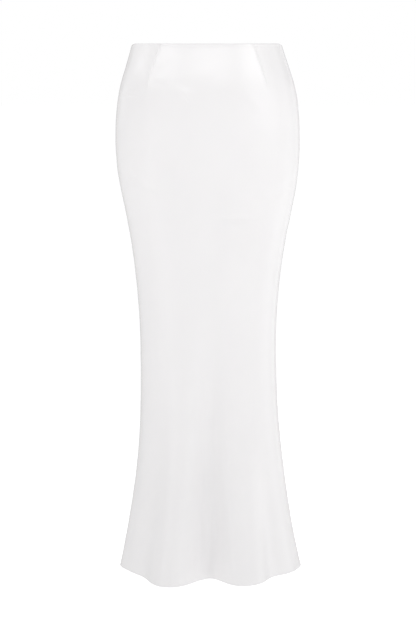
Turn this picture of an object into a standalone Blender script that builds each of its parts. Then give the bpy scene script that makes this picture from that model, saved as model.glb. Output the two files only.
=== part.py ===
"""Bias-cut maxi skirt, worn and hollow: a front panel and two back panels of satin, with a
concealed zip at the centre back. Metres, +Z up. The front faces -Y, and the wearer's left is +X.
The origin is the centre of the waist opening, level with the front waist edge."""

import math
from collections import namedtuple

import bmesh
import bpy
import numpy as np
from mathutils import Matrix, Vector

# The cloth
LENGTH = 1.000
WALL = 0.0012
SEAM_GAP = 0.0003
EDGE_ROLL = 0.0004  # how far a turned edge stands out of each face of the cloth
WAIST_TURNING = 0.006
HEM_TURNING = 0.005
TURNING_STEP = 0.0015
SEAM_DIP = 0.0005
SEAM_LIP = 0.003

# The body of the skirt: the outer face at each drop below the waist, as half widths to the
# wearer's right (-X) and left (+X), depths to the front and back, and a superellipse's power.
SECTION_COLUMNS = ("drop", "to_right", "to_left", "to_front", "to_back", "squareness")
SECTIONS = (
    (0.000, 0.1412, 0.1362, 0.0985, 0.1060, 2.25),
    (0.030, 0.1492, 0.1459, 0.1040, 0.1105, 2.22),
    (0.075, 0.1627, 0.1607, 0.1105, 0.1185, 2.20),
    (0.120, 0.1704, 0.1687, 0.1125, 0.1280, 2.20),
    (0.165, 0.1731, 0.1713, 0.1110, 0.1350, 2.20),
    (0.210, 0.1721, 0.1709, 0.1085, 0.1355, 2.22),
    (0.255, 0.1668, 0.1671, 0.1062, 0.1290, 2.25),
    (0.300, 0.1577, 0.1594, 0.1045, 0.1185, 2.30),
    (0.360, 0.1466, 0.1474, 0.1030, 0.1075, 2.35),
    (0.420, 0.1383, 0.1381, 0.1020, 0.1000, 2.40),
    (0.480, 0.1325, 0.1322, 0.1010, 0.0960, 2.40),
    (0.540, 0.1291, 0.1291, 0.1000, 0.0940, 2.40),
    (0.605, 0.1282, 0.1295, 0.0995, 0.0935, 2.35),
    (0.670, 0.1288, 0.1321, 0.1005, 0.0950, 2.30),
    (0.760, 0.1331, 0.1398, 0.1040, 0.1010, 2.20),
    (0.855, 0.1444, 0.1523, 0.1110, 0.1120, 2.10),
    (0.930, 0.1572, 0.1650, 0.1180, 0.1230, 2.05),
    (1.000, 0.1710, 0.1804, 0.1250, 0.1350, 2.00),
)

# The flutes: how far the hem reaches from the upright axis at each azimuth in degrees
# (0 front, 90 the wearer's left side), and the drop at which that flute or hollow starts.
FLUTE_COLUMNS = ("azimuth", "reach", "start")
FLUTES = (
    (-90, 0.1710, 0.60),
    (-79, 0.1630, 0.60),
    (-68, 0.1550, 0.60),
    (-59, 0.1500, 0.58),
    (-51, 0.1515, 0.56),
    (-45, 0.1580, 0.54),
    (-38, 0.1675, 0.52),
    (-32, 0.1735, 0.52),
    (-27, 0.1710, 0.52),
    (-22, 0.1640, 0.50),
    (-17, 0.1480, 0.48),
    (-13, 0.1280, 0.46),
    (-8, 0.1040, 0.44),
    (-3, 0.0935, 0.42),
    (1, 0.0920, 0.42),
    (5, 0.0940, 0.42),
    (9, 0.1020, 0.44),
    (13, 0.1200, 0.46),
    (17, 0.1425, 0.48),
    (23, 0.1575, 0.50),
    (30, 0.1625, 0.52),
    (37, 0.1620, 0.54),
    (43, 0.1570, 0.56),
    (50, 0.1500, 0.56),
    (58, 0.1505, 0.58),
    (65, 0.1610, 0.60),
    (72, 0.1700, 0.60),
    (79, 0.1745, 0.60),
    (90, 0.1804, 0.60),
    (105, 0.1620, 0.62),
    (117, 0.1440, 0.60),
    (128, 0.1480, 0.58),
    (140, 0.1610, 0.58),
    (151, 0.1520, 0.58),
    (163, 0.1290, 0.56),
    (175, 0.1410, 0.58),
    (186, 0.1530, 0.60),
    (196, 0.1440, 0.60),
    (207, 0.1270, 0.58),
    (217, 0.1450, 0.58),
    (227, 0.1630, 0.58),
    (238, 0.1530, 0.60),
    (249, 0.1420, 0.60),
    (259, 0.1540, 0.60),
)
FLUTE_GROWTH = 1.9

# The waist edge is level across the front and dips at the side seams and towards the back.
WAIST_COLUMNS = ("azimuth", "dip")
WAIST_DIPS = (
    (-90, 0.0055),
    (-84, 0.0030),
    (-74, 0.0),
    (74, 0.0),
    (84, 0.0025),
    (90, 0.0042),
    (98, 0.0048),
    (130, 0.0065),
    (180, 0.0095),
    (230, 0.0075),
    (262, 0.0060),
)
WAIST_DIP_REACH = 0.14

# Panels run from one seam azimuth to the next. Each dart has its distance from a side seam
# (front) or from the centre back seam (back) at the waist and at its tip, and how far it bows
# towards that seam halfway down.
Dart = namedtuple("Dart", ("panel", "edge", "at_waist", "at_tip", "bow", "length"))
DARTS = (
    Dart("front_panel", "start", 0.1060, 0.1070, 0.004, 0.078),
    Dart("front_panel", "end", 0.1035, 0.1055, 0.000, 0.078),
    Dart("back_left_panel", "end", 0.0860, 0.0920, 0.002, 0.112),
    Dart("back_right_panel", "start", 0.0860, 0.0920, 0.002, 0.112),
)
Panel = namedtuple("Panel", ("name", "start", "end", "side_cells", "middle_cells"))
PANELS = (
    Panel("front_panel", -90.0, 90.0, 8, 20),
    Panel("back_left_panel", 90.0, 180.0, 8, 0),
    Panel("back_right_panel", -180.0, -90.0, 8, 0),
)
DART_GROOVE = 0.0008
DART_HALF_WIDTH = 0.0025
FREE_HALF_WIDTH = 0.012
DART_RELEASE = 0.10

# Rows of the cloth's grid, as drops below its own waist edge: single rows at the edges and the
# zip, and runs of evenly spaced rows between them.
NECK_ROW = 0.0175
SLOT_ROW = 0.0285
ZIP_END_ROW = 0.190
TOP_ROWS = (0.0, WAIST_TURNING, WAIST_TURNING + TURNING_STEP, NECK_ROW, SLOT_ROW)
HEM_ROWS = (LENGTH - HEM_TURNING - TURNING_STEP, LENGTH - HEM_TURNING, LENGTH)
RowRun = namedtuple("RowRun", ("first", "last", "count"))
ROW_RUNS = (
    RowRun(0.044, 0.112, 5),
    RowRun(0.150, ZIP_END_ROW, 2),
    RowRun(0.230, 0.600, 9),
    RowRun(0.640, 0.970, 10),
)
ROWS = np.concatenate([TOP_ROWS, *[np.linspace(*run) for run in ROW_RUNS], HEM_ROWS])
AZIMUTH_STEP = 0.5
CENTRE_BACK = 180.0

# The concealed zip
TAPE_HALF_WIDTH = 0.012
TAPE_THICKNESS = 0.001
SLOT_HALF_WIDTH = 0.0013
NECK_HALF_WIDTH = 0.0006
NECK_HEIGHT = 0.005
BODY_WIDTH = 0.0090
BODY_HEIGHT = 0.0110
BODY_DEPTH = 0.0032
BODY_ROUNDING = 0.0008
BODY_ROUNDING_SEGMENTS = 2
PLATE_WIDTH = 0.0032
PLATE_HEIGHT = 0.0095
PLATE_BOTTOM = 0.00035
PLATE_TOP = 0.00125
ARCH_HALF_WIDTH = 0.0008
ARCH_HALF_SPAN = 0.0035
ARCH_HALF_OPENING = 0.0024
ARCH_TOP = 0.0041
ARCH_TOP_HALF_SPAN = 0.0013
ARCH_UNDERSIDE = 0.0032
ARCH_UNDERSIDE_HALF_SPAN = 0.0009
PULL_AXIS = 0.0022
PULL_THICKNESS = 0.0011
PULL_LENGTH = 0.0170
PULL_NECK_HALF_WIDTH = 0.0026
PULL_BULB_RADIUS = 0.0034
PULL_BULB_START = -20.0  # degrees, where the neck's side meets the bulb
PULL_BULB_TURN = 220.0
PULL_BULB_SIDES = 14
PULL_BEVEL = 0.0002
PULL_BEVEL_SEGMENTS = 1
WINDOW_HALF_WIDTH = 0.0016
WINDOW_LENGTH = 0.0042

SHARP_ANGLE = 40.0  # degrees, past which an edge is shaded sharp

# Finishes: base colour, roughness, metallic
FINISHES = {
    "satin": ((0.93, 0.93, 0.925), 0.34, 0.0),
    "zip_tape_weave": ((0.90, 0.90, 0.89), 0.75, 0.0),
    "lacquered_metal": ((0.88, 0.88, 0.87), 0.30, 0.0),
}


def clear_scene():
    for thing in list(bpy.data.objects):
        bpy.data.objects.remove(thing, do_unlink=True)


def finish(name):
    if name in bpy.data.materials:
        return bpy.data.materials[name]
    colour, roughness, metallic = FINISHES[name]
    material = bpy.data.materials.new(name)
    material.use_nodes = True
    shader = material.node_tree.nodes["Principled BSDF"]
    shader.inputs["Base Color"].default_value = (*colour, 1.0)
    shader.inputs["Roughness"].default_value = roughness
    shader.inputs["Metallic"].default_value = metallic
    return material


def smooth(knots, values, at):
    """Cubic Hermite curve through the values, with slopes from the neighbouring knots."""
    slopes = np.gradient(values, knots)
    left = np.clip(np.searchsorted(knots, at) - 1, 0, len(knots) - 2)
    width = knots[left + 1] - knots[left]
    t = np.clip((at - knots[left]) / width, 0.0, 1.0)
    rise = t * t * (3.0 - 2.0 * t)
    leave = t * (1.0 - t) ** 2 * width * slopes[left]
    arrive = t * t * (t - 1.0) * width * slopes[left + 1]
    return values[left] * (1.0 - rise) + values[left + 1] * rise + leave + arrive


def by_column(columns, rows):
    """A table as one array of values for each named column."""
    return dict(zip(columns, np.array(rows, float).T))


def all_round(columns, rows):
    """A table by azimuth, repeated past both ends so that it joins up at the back."""
    table = by_column(columns, rows)
    wrapped = {name: np.tile(values, 3) for name, values in table.items()}
    wrapped["azimuth"] += np.repeat((-360.0, 0.0, 360.0), len(rows))
    return wrapped


SECTION = by_column(SECTION_COLUMNS, SECTIONS)
FLUTE = all_round(FLUTE_COLUMNS, FLUTES)
WAIST = all_round(WAIST_COLUMNS, WAIST_DIPS)


def superellipse(azimuth, drop):
    """Distance of the unfluted cloth from the upright axis."""
    sizes = [smooth(SECTION["drop"], SECTION[name], drop) for name in SECTION_COLUMNS[1:]]
    to_right, to_left, to_front, to_back, power = sizes
    across = np.sin(np.radians(azimuth))
    ahead = np.cos(np.radians(azimuth))
    width = np.where(across > 0.0, to_left, to_right)
    depth = np.where(ahead > 0.0, to_front, to_back)
    return (np.abs(across / width) ** power + np.abs(ahead / depth) ** power) ** (-1.0 / power)


def reach(azimuth, drop):
    """Distance of the cloth's outer face from the upright axis, flutes included."""
    hem = smooth(FLUTE["azimuth"], FLUTE["reach"], azimuth)
    start = smooth(FLUTE["azimuth"], FLUTE["start"], azimuth)
    grown = np.clip((drop - start) / (LENGTH - start), 0.0, 1.0) ** FLUTE_GROWTH
    return superellipse(azimuth, drop) + grown * (hem - superellipse(azimuth, LENGTH))


def edge_dip(azimuth, row):
    """How far a grid point lies below its row, so that the rows follow the waist edge."""
    fade = np.clip(1.0 - row / WAIST_DIP_REACH, 0.0, 1.0) ** 2
    dip = smooth(WAIST["azimuth"], WAIST["dip"], azimuth)
    return np.maximum(dip, 0.0) * fade


def trace(panel, drop):
    """The outer face across a panel at one drop: azimuths, x, y and distance along it."""
    azimuth = np.arange(panel.start, panel.end + AZIMUTH_STEP / 2, AZIMUTH_STEP)
    distance = reach(azimuth, drop)
    x = distance * np.sin(np.radians(azimuth))
    y = -distance * np.cos(np.radians(azimuth))
    steps = np.hypot(np.diff(x), np.diff(y))
    return azimuth, x, y, np.concatenate([[0.0], np.cumsum(steps)])


def place(panel, row, fraction, depth):
    """The point at a fraction of a panel's width on one row, moved in from the outer face."""
    azimuth, _, _, along = trace(panel, row)
    here = np.interp(fraction * along[-1], along, azimuth)
    drop = row + float(edge_dip(here, row))
    _, x, y, along = trace(panel, drop)
    at = fraction * along[-1]
    run = Vector((np.interp(at, along, np.gradient(x)), np.interp(at, along, np.gradient(y)), 0.0))
    outward = Vector((run.y, -run.x, 0.0)).normalized()
    point = Vector((np.interp(at, along, x), np.interp(at, along, y), -drop))
    return point - outward * depth


def width_at(panel, row):
    return trace(panel, row)[3][-1]


def dart_line(panel, dart, row):
    """Distance of a dart's line from the panel's start edge, and how deep its groove is."""
    down = min(row / dart.length, 1.0)
    from_edge = dart.at_waist + (dart.at_tip - dart.at_waist) * down
    from_edge -= dart.bow * math.sin(math.pi * down)
    width = width_at(panel, min(row, dart.length))
    from_start = from_edge if dart.edge == "start" else width - from_edge
    return from_start * width_at(panel, row) / width, DART_GROOVE * math.sqrt(1.0 - down)


def dart_half_width(dart, row):
    """Half the spacing of the columns beside a dart, which spreads out below its tip."""
    freed = min(max((row - dart.length) / DART_RELEASE, 0.0), 1.0)
    return DART_HALF_WIDTH + (FREE_HALF_WIDTH - DART_HALF_WIDTH) * freed


def panel_columns(panel, row):
    """A row's columns as fractions of the panel's width, and how far each is drawn in."""
    width = width_at(panel, row)
    first = seam_opening(panel, "start", row)
    last = width - seam_opening(panel, "end", row)
    stops = [(first, SEAM_DIP, 1), (first + SEAM_LIP, 0.0, panel.side_cells)]
    darts = [dart for dart in DARTS if dart.panel == panel.name]
    for dart in darts:
        line, groove = dart_line(panel, dart, row)
        half = dart_half_width(dart, row)
        after = panel.side_cells if dart is darts[-1] else panel.middle_cells
        stops += [(line - half, 0.0, 1), (line, groove, 1), (line + half, 0.0, after)]
    stops += [(last - SEAM_LIP, 0.0, 1), (last, SEAM_DIP, 0)]
    places = []
    dips = []
    for (near, near_dip, cells), (far, far_dip, _) in zip(stops, stops[1:]):
        places += list(np.linspace(near, far, cells, endpoint=False))
        dips += list(np.linspace(near_dip, far_dip, cells, endpoint=False))
    return np.array(places + [last]) / width, dips + [SEAM_DIP]


def seam_opening(panel, edge, row):
    """Half of the gap at a panel's edge. The centre back seam parts for the zip slider's neck."""
    azimuth = panel.start if edge == "start" else panel.end
    if abs(azimuth) == CENTRE_BACK and row <= SLOT_ROW:
        return SLOT_HALF_WIDTH
    return SEAM_GAP / 2


def roll_at(row):
    """How far the faces stand out at a row, where the cloth is turned over at its edge."""
    turned = row <= WAIST_TURNING or row >= LENGTH - HEM_TURNING
    return EDGE_ROLL if turned else 0.0


def panel_walls(panel):
    """The panel's outer and inner grids of points."""
    outer = []
    inner = []
    for row in ROWS:
        roll = roll_at(row)
        columns = list(zip(*panel_columns(panel, row)))
        outer.append([place(panel, row, at, dip - roll) for at, dip in columns])
        inner.append([place(panel, row, at, dip + WALL + roll) for at, dip in columns])
    return outer, inner


def tape_walls():
    """The zip tape's grids: it lies behind the centre back seam, on the panels' own rows."""
    rows = [row for row in ROWS if WAIST_TURNING < row <= ZIP_END_ROW]
    half = (TAPE_HALF_WIDTH, TAPE_HALF_WIDTH / 2, SLOT_HALF_WIDTH)
    _, left, right = PANELS
    near = WALL + SEAM_DIP + SEAM_GAP
    grids = []
    for depth in (near, near + TAPE_THICKNESS):
        grid = []
        for row in rows:
            on_left = [place(left, row, 1.0 - w / width_at(left, row), depth) for w in half]
            on_right = [place(right, row, w / width_at(right, row), depth) for w in half]
            grid.append(on_left + on_right[::-1])
        grids.append(grid)
    cut = {(row, len(half) - 1) for row in range(sum(row < SLOT_ROW for row in rows))}
    return grids[0], grids[1], cut


def wall_mesh(name, outer, inner, cut=frozenset()):
    """A closed wall between two grids of points, with the cells in cut left out."""
    rows, columns = len(outer), len(outer[0])
    mesh = bpy.data.meshes.new(name)
    shell = bmesh.new()
    front = [[shell.verts.new(point) for point in line] for line in outer]
    back = [[shell.verts.new(point) for point in line] for line in inner]
    cells = {(i, j) for i in range(rows - 1) for j in range(columns - 1)} - set(cut)
    for i, j in sorted(cells):
        shell.faces.new((front[i][j], front[i + 1][j], front[i + 1][j + 1], front[i][j + 1]))
        shell.faces.new((back[i][j], back[i][j + 1], back[i + 1][j + 1], back[i + 1][j]))
        for beside, near, far in (
            ((i - 1, j), (i, j + 1), (i, j)),
            ((i + 1, j), (i + 1, j), (i + 1, j + 1)),
            ((i, j - 1), (i, j), (i + 1, j)),
            ((i, j + 1), (i + 1, j + 1), (i, j + 1)),
        ):
            if beside not in cells:
                a, b = front[near[0]][near[1]], front[far[0]][far[1]]
                c, d = back[far[0]][far[1]], back[near[0]][near[1]]
                shell.faces.new((b, a, d, c))
    loose = [vert for vert in shell.verts if not vert.link_faces]
    bmesh.ops.delete(shell, geom=loose, context="VERTS")
    bmesh.ops.recalc_face_normals(shell, faces=shell.faces)
    shell.to_mesh(mesh)
    shell.free()
    return mesh


def add_object(name, mesh, material):
    mesh.materials.append(finish(material))
    mesh.shade_smooth()
    mesh.set_sharp_from_angle(angle=math.radians(SHARP_ANGLE))
    thing = bpy.data.objects.new(name, mesh)
    bpy.context.scene.collection.objects.link(thing)
    return thing


def box_mesh(name, low, high):
    """A box between two corners."""
    mesh = bpy.data.meshes.new(name)
    shell = bmesh.new()
    size = Vector(high) - Vector(low)
    middle = (Vector(high) + Vector(low)) / 2
    matrix = Matrix.Translation(middle) @ Matrix.Diagonal((*size, 1.0))
    bmesh.ops.create_cube(shell, size=1.0, matrix=matrix)
    shell.to_mesh(mesh)
    shell.free()
    return mesh


def plate_mesh(name, outline, low, high):
    """An outline in the XZ plane, given counter-clockwise as seen from +Y, extruded along Y."""
    mesh = bpy.data.meshes.new(name)
    shell = bmesh.new()
    corners = [shell.verts.new((x, low, z)) for x, z in outline]
    face = shell.faces.new(corners)
    grown = bmesh.ops.extrude_face_region(shell, geom=[face])["geom"]
    moved = [item for item in grown if isinstance(item, bmesh.types.BMVert)]
    bmesh.ops.translate(shell, verts=moved, vec=(0.0, high - low, 0.0))
    bmesh.ops.recalc_face_normals(shell, faces=shell.faces)
    shell.to_mesh(mesh)
    shell.free()
    return mesh


def profile_mesh(name, outline, half_width):
    """An outline in the YZ plane, extruded along X to both sides."""
    mesh = bpy.data.meshes.new(name)
    shell = bmesh.new()
    corners = [shell.verts.new((-half_width, y, z)) for y, z in outline]
    face = shell.faces.new(corners)
    grown = bmesh.ops.extrude_face_region(shell, geom=[face])["geom"]
    moved = [item for item in grown if isinstance(item, bmesh.types.BMVert)]
    bmesh.ops.translate(shell, verts=moved, vec=(2.0 * half_width, 0.0, 0.0))
    bmesh.ops.recalc_face_normals(shell, faces=shell.faces)
    shell.to_mesh(mesh)
    shell.free()
    return mesh


def helper(name, mesh, parent):
    """A hidden object that a Boolean reads."""
    thing = bpy.data.objects.new(name, mesh)
    bpy.context.scene.collection.objects.link(thing)
    thing.parent = parent
    thing.hide_render = True
    thing.display_type = "WIRE"
    return thing


def combine(thing, other, operation):
    modifier = thing.modifiers.new(f"{operation.lower()} {other.name}", "BOOLEAN")
    modifier.operation = operation
    modifier.object = other


def zip_frame():
    """Where the slider sits: a point on the outer face at the centre back, and the cloth's lean."""
    here = place(PANELS[1], NECK_ROW, 1.0, 0.0)
    below = place(PANELS[1], NECK_ROW + PULL_LENGTH, 1.0, 0.0)
    lean = math.atan2(below.y - here.y, here.z - below.z)
    return Vector((0.0, here.y, here.z)), lean


def slider_seat():
    """An empty at the slider, with +Y out of the cloth and +Z up along it."""
    origin, lean = zip_frame()
    seat = bpy.data.objects.new("zip_slider_seat", None)
    seat.location = origin
    seat.rotation_euler = (lean, 0.0, 0.0)
    bpy.context.scene.collection.objects.link(seat)
    return seat


def build_slider(seat):
    """The slider: its body behind the tape, a neck through the seam, a plate and an arch."""
    back = WALL + SEAM_DIP + 2 * SEAM_GAP + TAPE_THICKNESS + EDGE_ROLL
    body = box_mesh(
        "zip_slider",
        (-BODY_WIDTH / 2, -back - BODY_DEPTH, -BODY_HEIGHT / 2),
        (BODY_WIDTH / 2, -back, BODY_HEIGHT / 2),
    )
    slider = add_object("zip_slider", body, "lacquered_metal")
    slider.parent = seat
    rounding = slider.modifiers.new("rounding", "BEVEL")
    rounding.width = BODY_ROUNDING
    rounding.segments = BODY_ROUNDING_SEGMENTS
    neck = box_mesh(
        "neck",
        (-NECK_HALF_WIDTH, -back - BODY_DEPTH / 2, -NECK_HEIGHT / 2),
        (NECK_HALF_WIDTH, (PLATE_BOTTOM + PLATE_TOP) / 2, NECK_HEIGHT / 2),
    )
    plate = box_mesh(
        "plate",
        (-PLATE_WIDTH / 2, PLATE_BOTTOM, -PLATE_HEIGHT / 2),
        (PLATE_WIDTH / 2, PLATE_TOP, PLATE_HEIGHT / 2),
    )
    arch = profile_mesh("arch", arch_outline(), ARCH_HALF_WIDTH)
    for mesh in (neck, plate, arch):
        combine(slider, helper(f"slider_{mesh.name}", mesh, seat), "UNION")
    return slider


def arch_outline():
    """The arch that holds the pull, from the side: out over the pull's bar and back."""
    foot = (PLATE_BOTTOM + PLATE_TOP) / 2
    outside = [
        (foot, -ARCH_HALF_SPAN),
        (PULL_AXIS, -ARCH_HALF_SPAN),
        (ARCH_TOP, -ARCH_TOP_HALF_SPAN),
        (ARCH_TOP, ARCH_TOP_HALF_SPAN),
        (PULL_AXIS, ARCH_HALF_SPAN),
        (foot, ARCH_HALF_SPAN),
    ]
    inside = [
        (foot, ARCH_HALF_OPENING),
        (PULL_AXIS, ARCH_HALF_OPENING),
        (ARCH_UNDERSIDE, ARCH_UNDERSIDE_HALF_SPAN),
        (ARCH_UNDERSIDE, -ARCH_UNDERSIDE_HALF_SPAN),
        (PULL_AXIS, -ARCH_HALF_OPENING),
        (foot, -ARCH_HALF_OPENING),
    ]
    return outside + inside


def pull_outline():
    """The pull hanging down from its axis: a straight neck that widens into a round bulb."""
    top = PULL_THICKNESS / 2
    centre = -PULL_LENGTH + PULL_BULB_RADIUS
    bulb = []
    for step in range(PULL_BULB_SIDES + 1):
        turn = math.radians(PULL_BULB_START + PULL_BULB_TURN * step / PULL_BULB_SIDES)
        bulb.append((PULL_BULB_RADIUS * math.cos(turn), centre - PULL_BULB_RADIUS * math.sin(turn)))
    start = [(-PULL_NECK_HALF_WIDTH, top), (PULL_NECK_HALF_WIDTH, top)]
    return start + [(PULL_NECK_HALF_WIDTH, -WINDOW_LENGTH)] + bulb + [
        (-PULL_NECK_HALF_WIDTH, -WINDOW_LENGTH)
    ]


def build_pull(seat):
    """The pull tab, with its origin on its hinge axis."""
    half = PULL_THICKNESS / 2
    plate = plate_mesh("zip_pull", pull_outline(), -half, half)
    pull = add_object("zip_pull", plate, "lacquered_metal")
    pull.parent = seat
    pull.location = (0.0, PULL_AXIS, 0.0)
    rounding = pull.modifiers.new("rounding", "BEVEL")
    rounding.width = PULL_BEVEL
    rounding.segments = PULL_BEVEL_SEGMENTS
    window = box_mesh(
        "window",
        (-WINDOW_HALF_WIDTH, -2.0 * PULL_THICKNESS, -WINDOW_LENGTH),
        (WINDOW_HALF_WIDTH, 2.0 * PULL_THICKNESS, -half),
    )
    cutter = helper("pull_window", window, pull)
    combine(pull, cutter, "DIFFERENCE")
    return pull


def main():
    clear_scene()
    for panel in PANELS:
        outer, inner = panel_walls(panel)
        add_object(panel.name, wall_mesh(panel.name, outer, inner), "satin")
    outer, inner, cut = tape_walls()
    add_object("zip_tape", wall_mesh("zip_tape", outer, inner, cut), "zip_tape_weave")
    seat = slider_seat()
    build_slider(seat)
    build_pull(seat)


main()
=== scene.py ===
"""Bias-cut maxi skirt in white satin, worn and hollow: its looks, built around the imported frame.

Metres, +Z up. The front faces -Y, the wearer's left is +X, and the front waist edge is at height zero.
A drop is a distance below the waist edge, and an azimuth is in degrees: 0 front, 90 the wearer's left side.
"""

from __future__ import annotations

import logging
import math
from dataclasses import dataclass
from enum import Enum
from functools import cache
from typing import NamedTuple

import bpy
import numpy as np
from mathutils import Euler, Matrix, Vector

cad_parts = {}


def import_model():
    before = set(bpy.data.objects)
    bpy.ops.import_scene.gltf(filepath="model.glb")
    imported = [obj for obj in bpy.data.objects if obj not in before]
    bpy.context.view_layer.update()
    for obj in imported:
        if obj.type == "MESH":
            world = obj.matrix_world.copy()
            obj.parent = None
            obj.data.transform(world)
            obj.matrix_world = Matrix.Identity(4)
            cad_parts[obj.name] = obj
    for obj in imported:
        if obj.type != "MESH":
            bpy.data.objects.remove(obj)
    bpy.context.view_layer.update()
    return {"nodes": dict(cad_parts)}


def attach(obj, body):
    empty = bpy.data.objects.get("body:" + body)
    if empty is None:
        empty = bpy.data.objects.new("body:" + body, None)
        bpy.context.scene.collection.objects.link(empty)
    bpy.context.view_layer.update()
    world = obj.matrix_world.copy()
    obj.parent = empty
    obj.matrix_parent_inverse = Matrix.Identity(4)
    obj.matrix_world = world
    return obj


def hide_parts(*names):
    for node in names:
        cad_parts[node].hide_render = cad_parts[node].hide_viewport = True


log = logging.getLogger("skirt")
Array = np.ndarray
Pair = tuple[Array, Array]
Faces = list[tuple[int, ...]]
Mesh = tuple[Array, Faces]
Colour = tuple[float, float, float]
Socket = bpy.types.NodeSocket
Thing = bpy.types.Object

LENGTH = 1.000
CENTRE_BACK = 180.0
WAIST_STITCHING = 0.0052
HEM_STITCHING = 0.0046
FLUTE_GROWTH = 1.9
WAIST_DIP_REACH = 0.14
CREASE_SHOULDER = 0.9
WHITE = (1.0, 1.0, 1.0, 1.0)


class Section(NamedTuple):
    """Half widths and depths of the unfluted skirt at one drop, and its superellipse's power."""

    drop: float
    to_right: float
    to_left: float
    to_front: float
    to_back: float
    squareness: float


class Flute(NamedTuple):
    """How far the hem reaches at one azimuth, and the drop at which that flute or hollow starts."""

    azimuth: float
    reach: float
    start: float


class WaistDip(NamedTuple):
    """How far the waist edge lies below the front's level at one azimuth."""

    azimuth: float
    dip: float


class Dart(NamedTuple):
    """A dart's distance from one edge of its panel at the waist and at its tip, its bow towards
    that edge halfway down, and its length."""

    edge: str
    at_waist: float
    at_tip: float
    bow: float
    length: float


class Crease(NamedTuple):
    """A soft trough (depth below zero) or ridge, turned by lean from the horizontal, in degrees."""

    azimuth: float
    drop: float
    length: float
    width: float
    depth: float
    lean: float
    bend: float


class SoftBox(NamedTuple):
    """A rectangular lamp round the skirt, facing one height of its axis; glow is its radiance."""

    name: str
    azimuth: float
    distance: float
    height: float
    aim: float
    width: float
    tall: float
    glow: float


class RowRun(NamedTuple):
    """A number of evenly spaced rows of the cloth's grid, between two drops."""

    start: float
    end: float
    count: int


class Puckers(NamedTuple):
    """Small waves along a line of sewing: their pitch and reach, and how far and how often they stray."""

    pitch: float
    reach: float
    stray: float
    beat: float

    def wave(self, row: Array, shift: float = 0.0) -> Array:
        """The waves' height at each drop, from -1 to 1."""
        return np.sin(row * 2.0 * math.pi / self.pitch + self.stray * np.sin(row * self.beat) + shift)

    def fade(self, away: Array) -> Array:
        """The share of the waves that is left at each distance from the line."""
        return np.exp(-((away / self.reach) ** 2))


class Fold(NamedTuple):
    """One line of a turned edge: its distance from the fold and its depth below the outer face."""

    distance: float
    depth: float


SECTIONS = tuple(Section(*row) for row in (
    (0.0, 0.1412, 0.1362, 0.0985, 0.106, 2.25), (0.03, 0.1492, 0.1459, 0.104, 0.1105, 2.22),
    (0.075, 0.1627, 0.1607, 0.1105, 0.1185, 2.2), (0.12, 0.1704, 0.1687, 0.1125, 0.128, 2.2),
    (0.165, 0.1731, 0.1713, 0.111, 0.135, 2.2), (0.21, 0.1721, 0.1709, 0.1085, 0.1355, 2.22),
    (0.255, 0.1668, 0.1671, 0.1062, 0.129, 2.25), (0.3, 0.1577, 0.1594, 0.1045, 0.1185, 2.3),
    (0.36, 0.1466, 0.1474, 0.103, 0.1075, 2.35), (0.42, 0.1383, 0.1381, 0.102, 0.1, 2.4),
    (0.48, 0.1325, 0.1322, 0.101, 0.096, 2.4), (0.54, 0.1291, 0.1291, 0.1, 0.094, 2.4),
    (0.605, 0.1282, 0.1295, 0.0995, 0.0935, 2.35), (0.67, 0.1288, 0.1321, 0.1005, 0.095, 2.3),
    (0.76, 0.1331, 0.1398, 0.104, 0.101, 2.2), (0.855, 0.1444, 0.1523, 0.111, 0.112, 2.1),
    (0.93, 0.1572, 0.165, 0.118, 0.123, 2.05), (1.0, 0.171, 0.1804, 0.125, 0.135, 2.0),
))
FLUTES = tuple(Flute(*row) for row in (
    (-90, 0.171, 0.6), (-79, 0.163, 0.6), (-68, 0.155, 0.6), (-59, 0.15, 0.58),
    (-51, 0.1515, 0.56), (-45, 0.158, 0.54), (-38, 0.1675, 0.52), (-32, 0.1735, 0.52),
    (-27, 0.171, 0.52), (-22, 0.164, 0.5), (-17, 0.148, 0.48), (-13, 0.128, 0.46),
    (-8, 0.104, 0.44), (-3, 0.0935, 0.42), (1, 0.092, 0.42), (5, 0.094, 0.42),
    (9, 0.102, 0.44), (13, 0.12, 0.46), (17, 0.1425, 0.48), (23, 0.1575, 0.5),
    (30, 0.1625, 0.52), (37, 0.162, 0.54), (43, 0.157, 0.56), (50, 0.15, 0.56),
    (58, 0.1505, 0.58), (65, 0.161, 0.6), (72, 0.17, 0.6), (79, 0.1745, 0.6),
    (90, 0.1804, 0.6), (105, 0.162, 0.62), (117, 0.144, 0.6), (128, 0.148, 0.58),
    (140, 0.161, 0.58), (151, 0.152, 0.58), (163, 0.129, 0.56), (175, 0.141, 0.58),
    (186, 0.153, 0.6), (196, 0.144, 0.6), (207, 0.127, 0.58), (217, 0.145, 0.58),
    (227, 0.163, 0.58), (238, 0.153, 0.6), (249, 0.142, 0.6), (259, 0.154, 0.6),
))
WAIST_DIPS = tuple(WaistDip(*row) for row in (
    (-90, 0.0055), (-84, 0.003), (-74, 0.0), (74, 0.0), (84, 0.0025), (90, 0.0042),
    (98, 0.0048), (130, 0.0065), (180, 0.0095), (230, 0.0075), (262, 0.006),
))

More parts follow.
